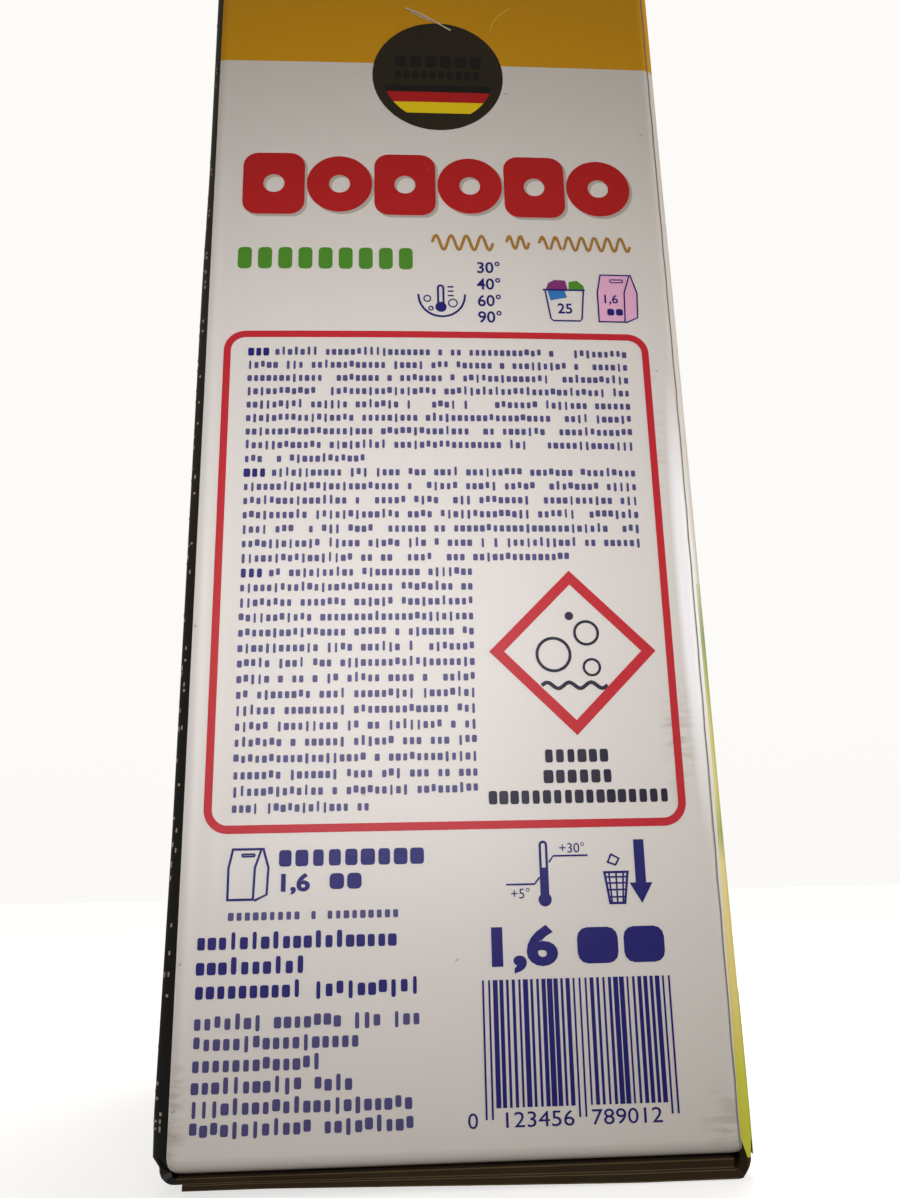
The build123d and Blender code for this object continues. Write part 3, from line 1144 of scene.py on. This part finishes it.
def bubbleCloud(left, foot, right, head, count, largest):
    # Rings spread evenly by the golden angle, larger ones first.
    groups = []
    for k in range(count):
        share = math.sqrt((k + 0.5) / count)
        angle = k * math.pi * (3 - math.sqrt(5))
        s = (left + right) / 2 + (right - left) / 2 * share * math.cos(angle)
        h = (foot + head) / 2 + (head - foot) / 2 * share * math.sin(angle)
        radius = largest * (0.3 + 0.7 * ((k * 5) % 7) / 6)
        groups.append(outlined(disc(s, h, radius, 32), 0.14 * radius + 0.15))
    return groups


def shirtOutline(s, h, wide):
    # A plain short-sleeved shirt, drawn about the middle of its hem.
    half = wide / 2
    right = [(half * 0.62, 0), (half * 0.62, half * 1.12), (half * 0.82, half * 0.98),
             (half * 1.12, half * 1.42), (half * 0.5, half * 1.86), (half * 0.3, half * 1.9)]
    neck = [(half * 0.16, half * 1.76), (-half * 0.16, half * 1.76)]
    left = [(-x, y) for x, y in reversed(right)]
    return [(s + x, h + y) for x, y in right + neck + left]


darkFace = {
    "panel": 2,
    "plate": (12.0, 158.0, 122.0, 200.0),
    "bubbles": (12, 42, 122, 136, 22, 5.0),
    "shirt": (58.0, 74.0, 52.0),
    "badge": (108, 36, 16),
    "badgeFigures": (98.5, 31, 11, 0.3),
    "word": (16, 144, 78, 151, 10, 1.6),
    "unit": (38, 8, 54, 17, 2, 1.4),
    "weight": (12, 8, 11, 0.4, 1.2),
    "rows": ((34, 84), (30, 76), (26.4, 66)),  # height and right end
}


def printDarkFace():
    d = darkFace
    panel = d["panel"]
    left, foot, right, head = d["plate"]
    inkPiece("darkPlate", panel, paleInk, [[roundBox(left, foot, right, head, 12, 10)]], "under")
    inkPiece("darkTiles", panel, redInk,
             bubbleTiles(left + 8, foot + 13, right - 8, head - 11, 6, 1.2))
    inkPiece("darkBubbles", panel, skyInk, bubbleCloud(*d["bubbles"]))
    inkPiece("darkShirt", panel, paleInk, [outlined(shirtOutline(*d["shirt"]), 1.6)])
    printBadge(panel, "dark", d["badge"], d["badgeFigures"], ("under", "over"))
    inkPiece("darkWord", panel, goldInk, wordBlocks(*d["word"]))
    printWeight(panel, "dark", paleInk, d["unit"], d["weight"])
    typePiece("darkType", panel, paleInk,
              [(12, h, right, 1.7, 1.9, 0.12, 0.2, 0.8) for h, right in d["rows"]], 41)


paleFace = {
    "panel": 4,
    "tiles": {"box": (14, 164, 122, 184), "count": 6, "gap": 1.3, "shadow": 0.8},
    "sealShift": 62.0,
    "word": (14, 144, 66, 152, 9, 2.0),
    "waves": ((72, 149, 20, 4.4, 2.4, 0.8), (96, 149, 26, 4.0, 2.3, 0.8)),
    "hill": 22.0,
    "hillFoot": -0.5,
    "hillEnds": (0.1, 136.8),
    "bubbles": (14, 46, 122, 132, 20, 5.0),
    "shirt": (66.0, 62.0, 50.0),
    "badge": (110, 32, 15),
    "badgeFigures": (101.2, 27.2, 10, 0.3),
    "unit": (38, 10, 52, 19, 2, 1.4),
    "weight": (12, 10, 11, 0.4, 1.2),
}


def printPaleFace():
    f = paleFace
    panel = f["panel"]
    printTiles(panel, "pale", f["tiles"])
    printSeal(panel, "pale", f["sealShift"])
    inkPiece("paleWord", panel, greenInk, wordBlocks(*f["word"]))
    inkPiece("paleScript", panel, goldInk, [wave(*line) for line in f["waves"]])
    start, end = f["hillEnds"]
    crest = [(s, f["hill"] + 16 * math.sin(math.pi * (s + 8) / 168)
              + 4 * math.sin(math.pi * s / 52)) for s in np.linspace(start, end, 36)]
    inkPiece("paleHill", panel, leafInk,
             [[crest + [(end, f["hillFoot"]), (start, f["hillFoot"])]]], "under")
    inkPiece("paleBubbles", panel, skyInk, bubbleCloud(*f["bubbles"]))
    shirt = shirtOutline(*f["shirt"])
    inkPiece("paleShirt", panel, paleInk, [[shirt]], "under")
    inkPiece("paleShirtLine", panel, blueInk, [outlined(shirt, 1.0)])
    printBadge(panel, "pale", f["badge"], f["badgeFigures"], ("over", "top"))
    printWeight(panel, "pale", navyInk, f["unit"], f["weight"])


backSide = {
    "panel": 1,
    "textRows": 24,
    "textRights": (82.0, 82.0, 80.0, 64.0, 82.0, 81.0),  # right ends, over and over
    "table": (8.0, 30.0, 82.0, 76.0),
    "rows": 4,
    "columns": 5,
    "unit": (30.0, 12.0, 42.0, 19.0, 2, 1.2),
    "weight": (8.0, 12.0, 8.0, 0.3, 1.25),
}


def printBackSide():
    panel = backSide["panel"]
    printTiles(panel, "back", tileRow)
    printSeal(panel, "back")
    inkPiece("backWord", panel, greenInk, wordBlocks(*variety["word"]))
    rights = backSide["textRights"]
    rows = [(8.0, 152 - 2.9 * k, rights[k % len(rights)], 1.35, 1.22, 0.14, 0.2, 0.8)
            for k in range(backSide["textRows"])]
    typePiece("backType", panel, fineInk, rows, 57)
    left, foot, right, head = backSide["table"]
    lines = [outlined(roundBox(left, foot, right, head, 3, 6), 0.7)]
    for k in range(1, backSide["rows"]):
        h = foot + (head - foot) * k / backSide["rows"]
        lines.append(stroke([(left + 0.6, h), (right - 0.6, h)], 0.45))
    wide = (right - left) / backSide["columns"]
    for k in range(1, backSide["columns"]):
        lines.append(stroke([(left + wide * k, foot + 0.6), (left + wide * k, head - 0.6)], 0.45))
    high = (head - foot) / backSide["rows"]
    figures = [figuresMesh(str(25 * (row + column + 1)), left + wide * column + 3.4,
                           foot + high * (backSide["rows"] - 2 - row) + 4.2, 3.2, 0.06)
               for row in range(backSide["rows"] - 1)
               for column in range(1, backSide["columns"])]
    drops = []
    for column in range(1, backSide["columns"]):
        s, h, radius = left + wide * (column + 0.5), head - high * 0.62, 2.2
        drops.append([arcPoints(s, h, radius, -210, 30, 18) + [(s, h + radius * 2.1)]])
    bars = [[roundBox(left + 2.4, foot + high * (k + 0.36), left + wide - 3,
                      foot + high * (k + 0.62), 0.6, 3)] for k in range(backSide["rows"] - 1)]
    inkPiece("backTable", panel, navyInk, lines + drops + bars, meshes=figures)
    printWeight(panel, "back", navyInk, backSide["unit"], backSide["weight"])


printDarkFace()
printPaleFace()
printBackSide()

print("other faces printed")

wear = {
    "fleckStep": 1.1,
    "fleckGap": 0.84,      # share of flecks left out
    "foldTopFleck": 240,
    "scratchWide": 0.32,
    "nickWide": 0.22,
    "scoreAt": 92.2,
    "scoreWide": 0.26,
    "scoreDrift": 0.75,    # it creeps this far round the fold at the foot
    "scoreDriftHigh": 130,
    "scoreSteps": 46,
}


def crackedFolds():
    # Ink has cracked off the dark face's upright folds in small flecks. Each row runs upward.
    step, gap, end = wear["fleckStep"], wear["fleckGap"], wear["foldTopFleck"]
    rows = [(6, -1.1, 212, 0.26, step, gap, 0.5, 0.8), (6, -1.9, end, 0.34, step, gap, 0.4, 0.9),
            (6, -2.5, end, 0.3, step, gap + 0.05, 0.5, 0.6)]
    typePiece("foldFlecks", side, fleckInk, rows, 71, upright=True)
    rows = [(6, -1.6, end, 0.34, step, gap + 0.04, 0.4, 0.9)]
    typePiece("darkFoldFlecks", darkFace["panel"], fleckInk, rows, 77, upright=True)


def scratchesAndWrinkleHighlight():
    lines = [stroke([(39.6, 228.0), (43.0, 226.4), (46.2, 224.3), (49.3, 222.2)],
                    wear["scratchWide"]),
             stroke([(40.6, 226.9), (44.8, 224.6)], wear["scratchWide"] * 0.6)]
    inkPiece("bandScratch", side, paleInk, lines, "top")
    # A painted highlight: a lighter yellow line along the ridge of a wrinkle in the band.
    wrinkle = arcPoints(66.4, 221.0, 8.6, 118, 172, 10)
    inkPiece("bandWrinkle", side, wrinkleHighlightInk, [stroke(wrinkle, 0.35)])
    nicks = [stroke([(s, h), (s + 0.5 * turn, h + 0.4)], wear["nickWide"]) for s, h, turn in (
        (0.5, 9.0, 1), (0.4, 31.0, 1), (0.7, 88.5, -1), (89.3, 196.0, 1), (88.8, 140.0, -1),
        (60.5, 205.5, 1), (31.0, 58.0, -1), (46.0, 30.6, 1))]
    inkPiece("smallNicks", side, shadowInk, nicks)


plies = {
    "inset": 3.2,          # ends stay this far in from the upright folds
    "outer": 0.03,         # the outer liner, in from the board's face
    "inner": 0.25,         # and the inner one, from its back
    "flip": 0.22,          # the same at the upper flaps
    "thick": 0.2,
    "step": 1.6,
    "root": 0.1,           # how far a liner reaches into the board
    "stand": 0.07,         # and how far it stands out of the cut, more or less ragged
    "sway": 0.05,
}


def edgePlies():
    # The two liners of the board show along the cut ends of the main flaps, a little ragged.
    form = bmesh.new()
    board = carton["board"]
    ends = []
    for half, foot, start, end in (
            (closing["outerHalf"], 0.0, closing["freeGap"] - halfDepth, halfDepth - plies["inset"]),
            (closing["innerHalf"], board, plies["inset"] - halfDepth,
             halfDepth - closing["innerGap"])):
        for liner in (foot + plies["outer"], foot + board - plies["inner"]):
            ends += [(x, z, start, end) for z in (liner, tall - liner - plies["flip"])
                     for x in (half, -half)]
    for number, (x, foot, start, end) in enumerate(ends):
        outward = math.copysign(1, x)
        count = round((end - start) / plies["step"])
        previous = None
        for k in range(count + 1):
            y = start + (end - start) * k / count
            ragged = noise.noise(Vector((y * 0.9, number * 5.3, 1.7)))
            tip = x + outward * (plies["stand"] + plies["stand"] * ragged)
            root = x - outward * plies["root"]
            low = foot + plies["sway"] * noise.noise(Vector((y * 0.4, number * 3.1, 9.2)))
            ring = [form.verts.new((px, y, pz)) for px, pz in (
                (root, low), (tip, low), (tip, low + plies["thick"]),
                (root, low + plies["thick"]))]
            if previous:
                for j in range(4):
                    form.faces.new((previous[j], previous[j - 1], ring[j - 1], ring[j]))
            else:
                form.faces.new(ring)
            previous = ring
        form.faces.new(previous)
    bmesh.ops.recalc_face_normals(form, faces=form.faces)
    mesh = bpy.data.meshes.new("flapPlies")
    form.to_mesh(mesh)
    form.free()
    mesh.transform(Matrix.Scale(mm, 4))
    crushFoot(mesh)
    mesh.materials.append(linerPaper)
    finishedPiece("flapPlies", mesh)


def foldLine():
    # The score beside the pale face shows as a thin grey line where its print begins.
    line = []
    for k in range(wear["scoreSteps"] + 1):
        h = 1.0 + 240 * k / wear["scoreSteps"]
        drift = wear["scoreDrift"] * max(0.0, 1 - (h + inkFilm["foot"]) / wear["scoreDriftHigh"])
        line.append((wear["scoreAt"] - drift + 0.06 * math.sin(h * 0.7), h))
    inkPiece("foldScore", side, scoreInk, [stroke(line, wear["scoreWide"])])


crackedFolds()
scratchesAndWrinkleHighlight()
foldLine()
edgePlies()


print("wear and raw edges added")

lighting = {
    "room": 0.24,          # what the walls of the room give
    "backdrop": 0.985,     # how bright they look
    "horizon": 0.975,      # and where the floor meets them
    "rise": 0.22,          # how far up the one turns into the other
    "floorGlow": 0.72,     # a light table under a white sweep keeps the shadow pale
}
lamps = {
    # A wide soft light from above and behind.
    "overheadSoft": {"kind": "SUN", "place": (-0.34, 0.12, 1), "target": (0, 0, 0),
                     "power": 1.80, "angle": math.radians(24)},
    # The lamp that fades towards both ends of the narrow side.
    "panelSoft": {"kind": "AREA", "place": (0.262, -0.018, 0.110), "target": (0.05, -0.016, 0.098),
                  "power": 0.084, "colour": "#FBFAFF", "size": 0.12, "spread": math.radians(86)},
    # A window on the pale face's side, and a fill behind.
    "rightSoft": {"kind": "AREA", "place": (0.17, 0.62, 0.17), "target": (0, 0, 0.12),
                  "power": 1.9, "colour": "#FFFBF4", "size": 0.3},
    "backSoft": {"kind": "AREA", "place": (-0.8, 0.25, 0.45), "target": (0, 0, 0.12),
                 "power": 2.4, "size": 0.6},
}


def makeStage():
    bpy.ops.mesh.primitive_plane_add(size=12.0, location=(0, 0, -0.0002))
    floor = bpy.context.object
    floor.name = "paleFloor"
    material, tree, shader = newMaterial("matFloorPaper")
    shader.inputs["Base Color"].default_value = linearColour("#A9A7A4")
    shader.inputs["Roughness"].default_value = 0.9
    shader.inputs["Specular IOR Level"].default_value = 0.1
    shader.inputs["Emission Color"].default_value = linearColour("#FFFEFC")
    shader.inputs["Emission Strength"].default_value = lighting["floorGlow"]
    floor.data.materials.append(material)
    floor.visible_diffuse = False  # a white floor would light the folds from below
    floor.visible_glossy = False


def lamp(name, kind, place, target, power, colour="#FFFFFF", **settings):
    light = bpy.data.lights.new(name, kind)
    light.energy = power
    light.color = linearColour(colour)[:3]
    for label, value in settings.items():
        setattr(light, label, value)
    holder = bpy.data.objects.new(name, light)
    holder.location = place
    holder.rotation_mode = "QUATERNION"
    holder.rotation_quaternion = (Vector(target) - Vector(place)).to_track_quat("-Z", "Y")
    bpy.context.scene.collection.objects.link(holder)


def makeLights():
    world = bpy.data.worlds.new("paleRoom")
    world.use_nodes = True
    tree = world.node_tree
    tree.nodes.clear()
    lit = addNode(tree, "ShaderNodeBackground", {"Color": linearColour("#FFF6E8"),
                                                 "Strength": lighting["room"]})
    direction = addNode(tree, "ShaderNodeTexCoord").outputs["Generated"]
    rise = addNode(tree, "ShaderNodeSeparateXYZ", {0: direction}).outputs["Z"]
    glow = addNode(tree, "ShaderNodeMapRange",
                   {"Value": rise, "From Min": 0.0, "From Max": lighting["rise"],
                    "To Min": lighting["horizon"], "To Max": lighting["backdrop"]},
                   interpolation_type="SMOOTHSTEP")
    seen = addNode(tree, "ShaderNodeBackground", {"Color": linearColour("#FFFDFA"),
                                                  "Strength": glow.outputs[0]})
    direct = addNode(tree, "ShaderNodeLightPath").outputs["Is Camera Ray"]
    either = addNode(tree, "ShaderNodeMixShader", {0: direct, 1: lit.outputs[0],
                                                   2: seen.outputs[0]})
    addNode(tree, "ShaderNodeOutputWorld", {"Surface": either.outputs[0]})
    bpy.context.scene.world = world
    for name, settings in lamps.items():
        lamp(name, **settings)


camera = {
    "distance": 179.2,     # from the flat of the side panel
    "along": 35.5,         # right of the panel's left print edge
    "above": 42.6,         # above the panel's lower fold
    "yaw": -3.4938,      # degrees, turned towards the dark face
    "lookUp": 15.794,
    "roll": -1.2659,
    "lens": 30.54,
    "sensor": 36.0,
}


def makeCamera():
    data = bpy.data.cameras.new("viewCamera")
    data.lens = camera["lens"]
    data.sensor_width = camera["sensor"]
    data.clip_start = 0.01
    cameraObject = bpy.data.objects.new("viewCamera", data)
    yaw, lookUp, roll = (math.radians(camera[label]) for label in ("yaw", "lookUp", "roll"))
    back = Vector((math.cos(lookUp) * math.cos(yaw), math.cos(lookUp) * math.sin(yaw),
                   -math.sin(lookUp)))
    level = Vector((-math.sin(yaw), math.cos(yaw), 0))
    right = level * math.cos(roll) + back.cross(level) * math.sin(roll)
    leftEdge = -(halfDepth - carton["corner"]) - inkFilm["overrun"]
    place = Vector((halfWidth + camera["distance"], leftEdge + camera["along"],
                    inkFilm["foot"] + camera["above"])) * mm
    turned = Matrix((right, back.cross(right), back)).transposed().to_4x4()
    cameraObject.matrix_world = Matrix.Translation(place) @ turned
    bpy.context.scene.collection.objects.link(cameraObject)
    bpy.context.scene.camera = cameraObject


makeStage()
makeLights()
makeCamera()
print("stage, lights and camera set")
